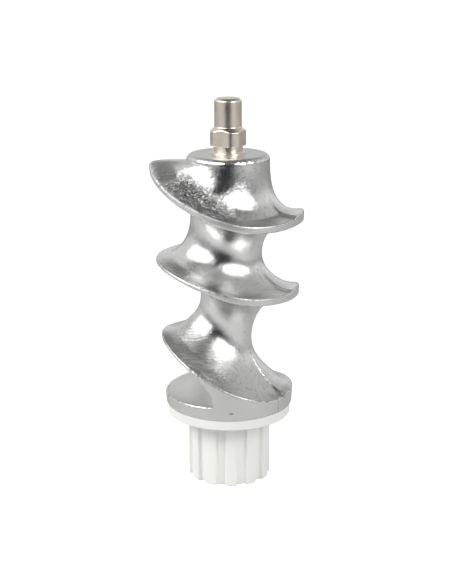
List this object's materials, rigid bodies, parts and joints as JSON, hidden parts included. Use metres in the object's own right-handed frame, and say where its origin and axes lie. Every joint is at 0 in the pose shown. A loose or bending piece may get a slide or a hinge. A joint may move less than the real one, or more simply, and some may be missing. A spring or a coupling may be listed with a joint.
{
  "type": "meat grinder auger",
  "caption": "Cast aluminium feed screw of a small meat grinder, with a steel knife spindle and a white plastic drive coupling.",
  "frame": {"origin": "centre of the drive coupling's end face, on the screw's axis", "axes": "+Z along the screw's axis from the drive coupling to the knife pin, -Y to the front of the picture, +X to its right"},
  "size_m": [0.0453, 0.0441, 0.1152],
  "materials": {
    "cast_aluminium": "polished casting with satin turned faces",
    "plated_steel": "nickel plated",
    "white_plastic": "satin moulded"
  },
  "bodies": {
    "root": {"auger_screw": "cast_aluminium", "knife_spindle": "plated_steel", "drive_coupling": "white_plastic"}
  },
  "joints": []
}
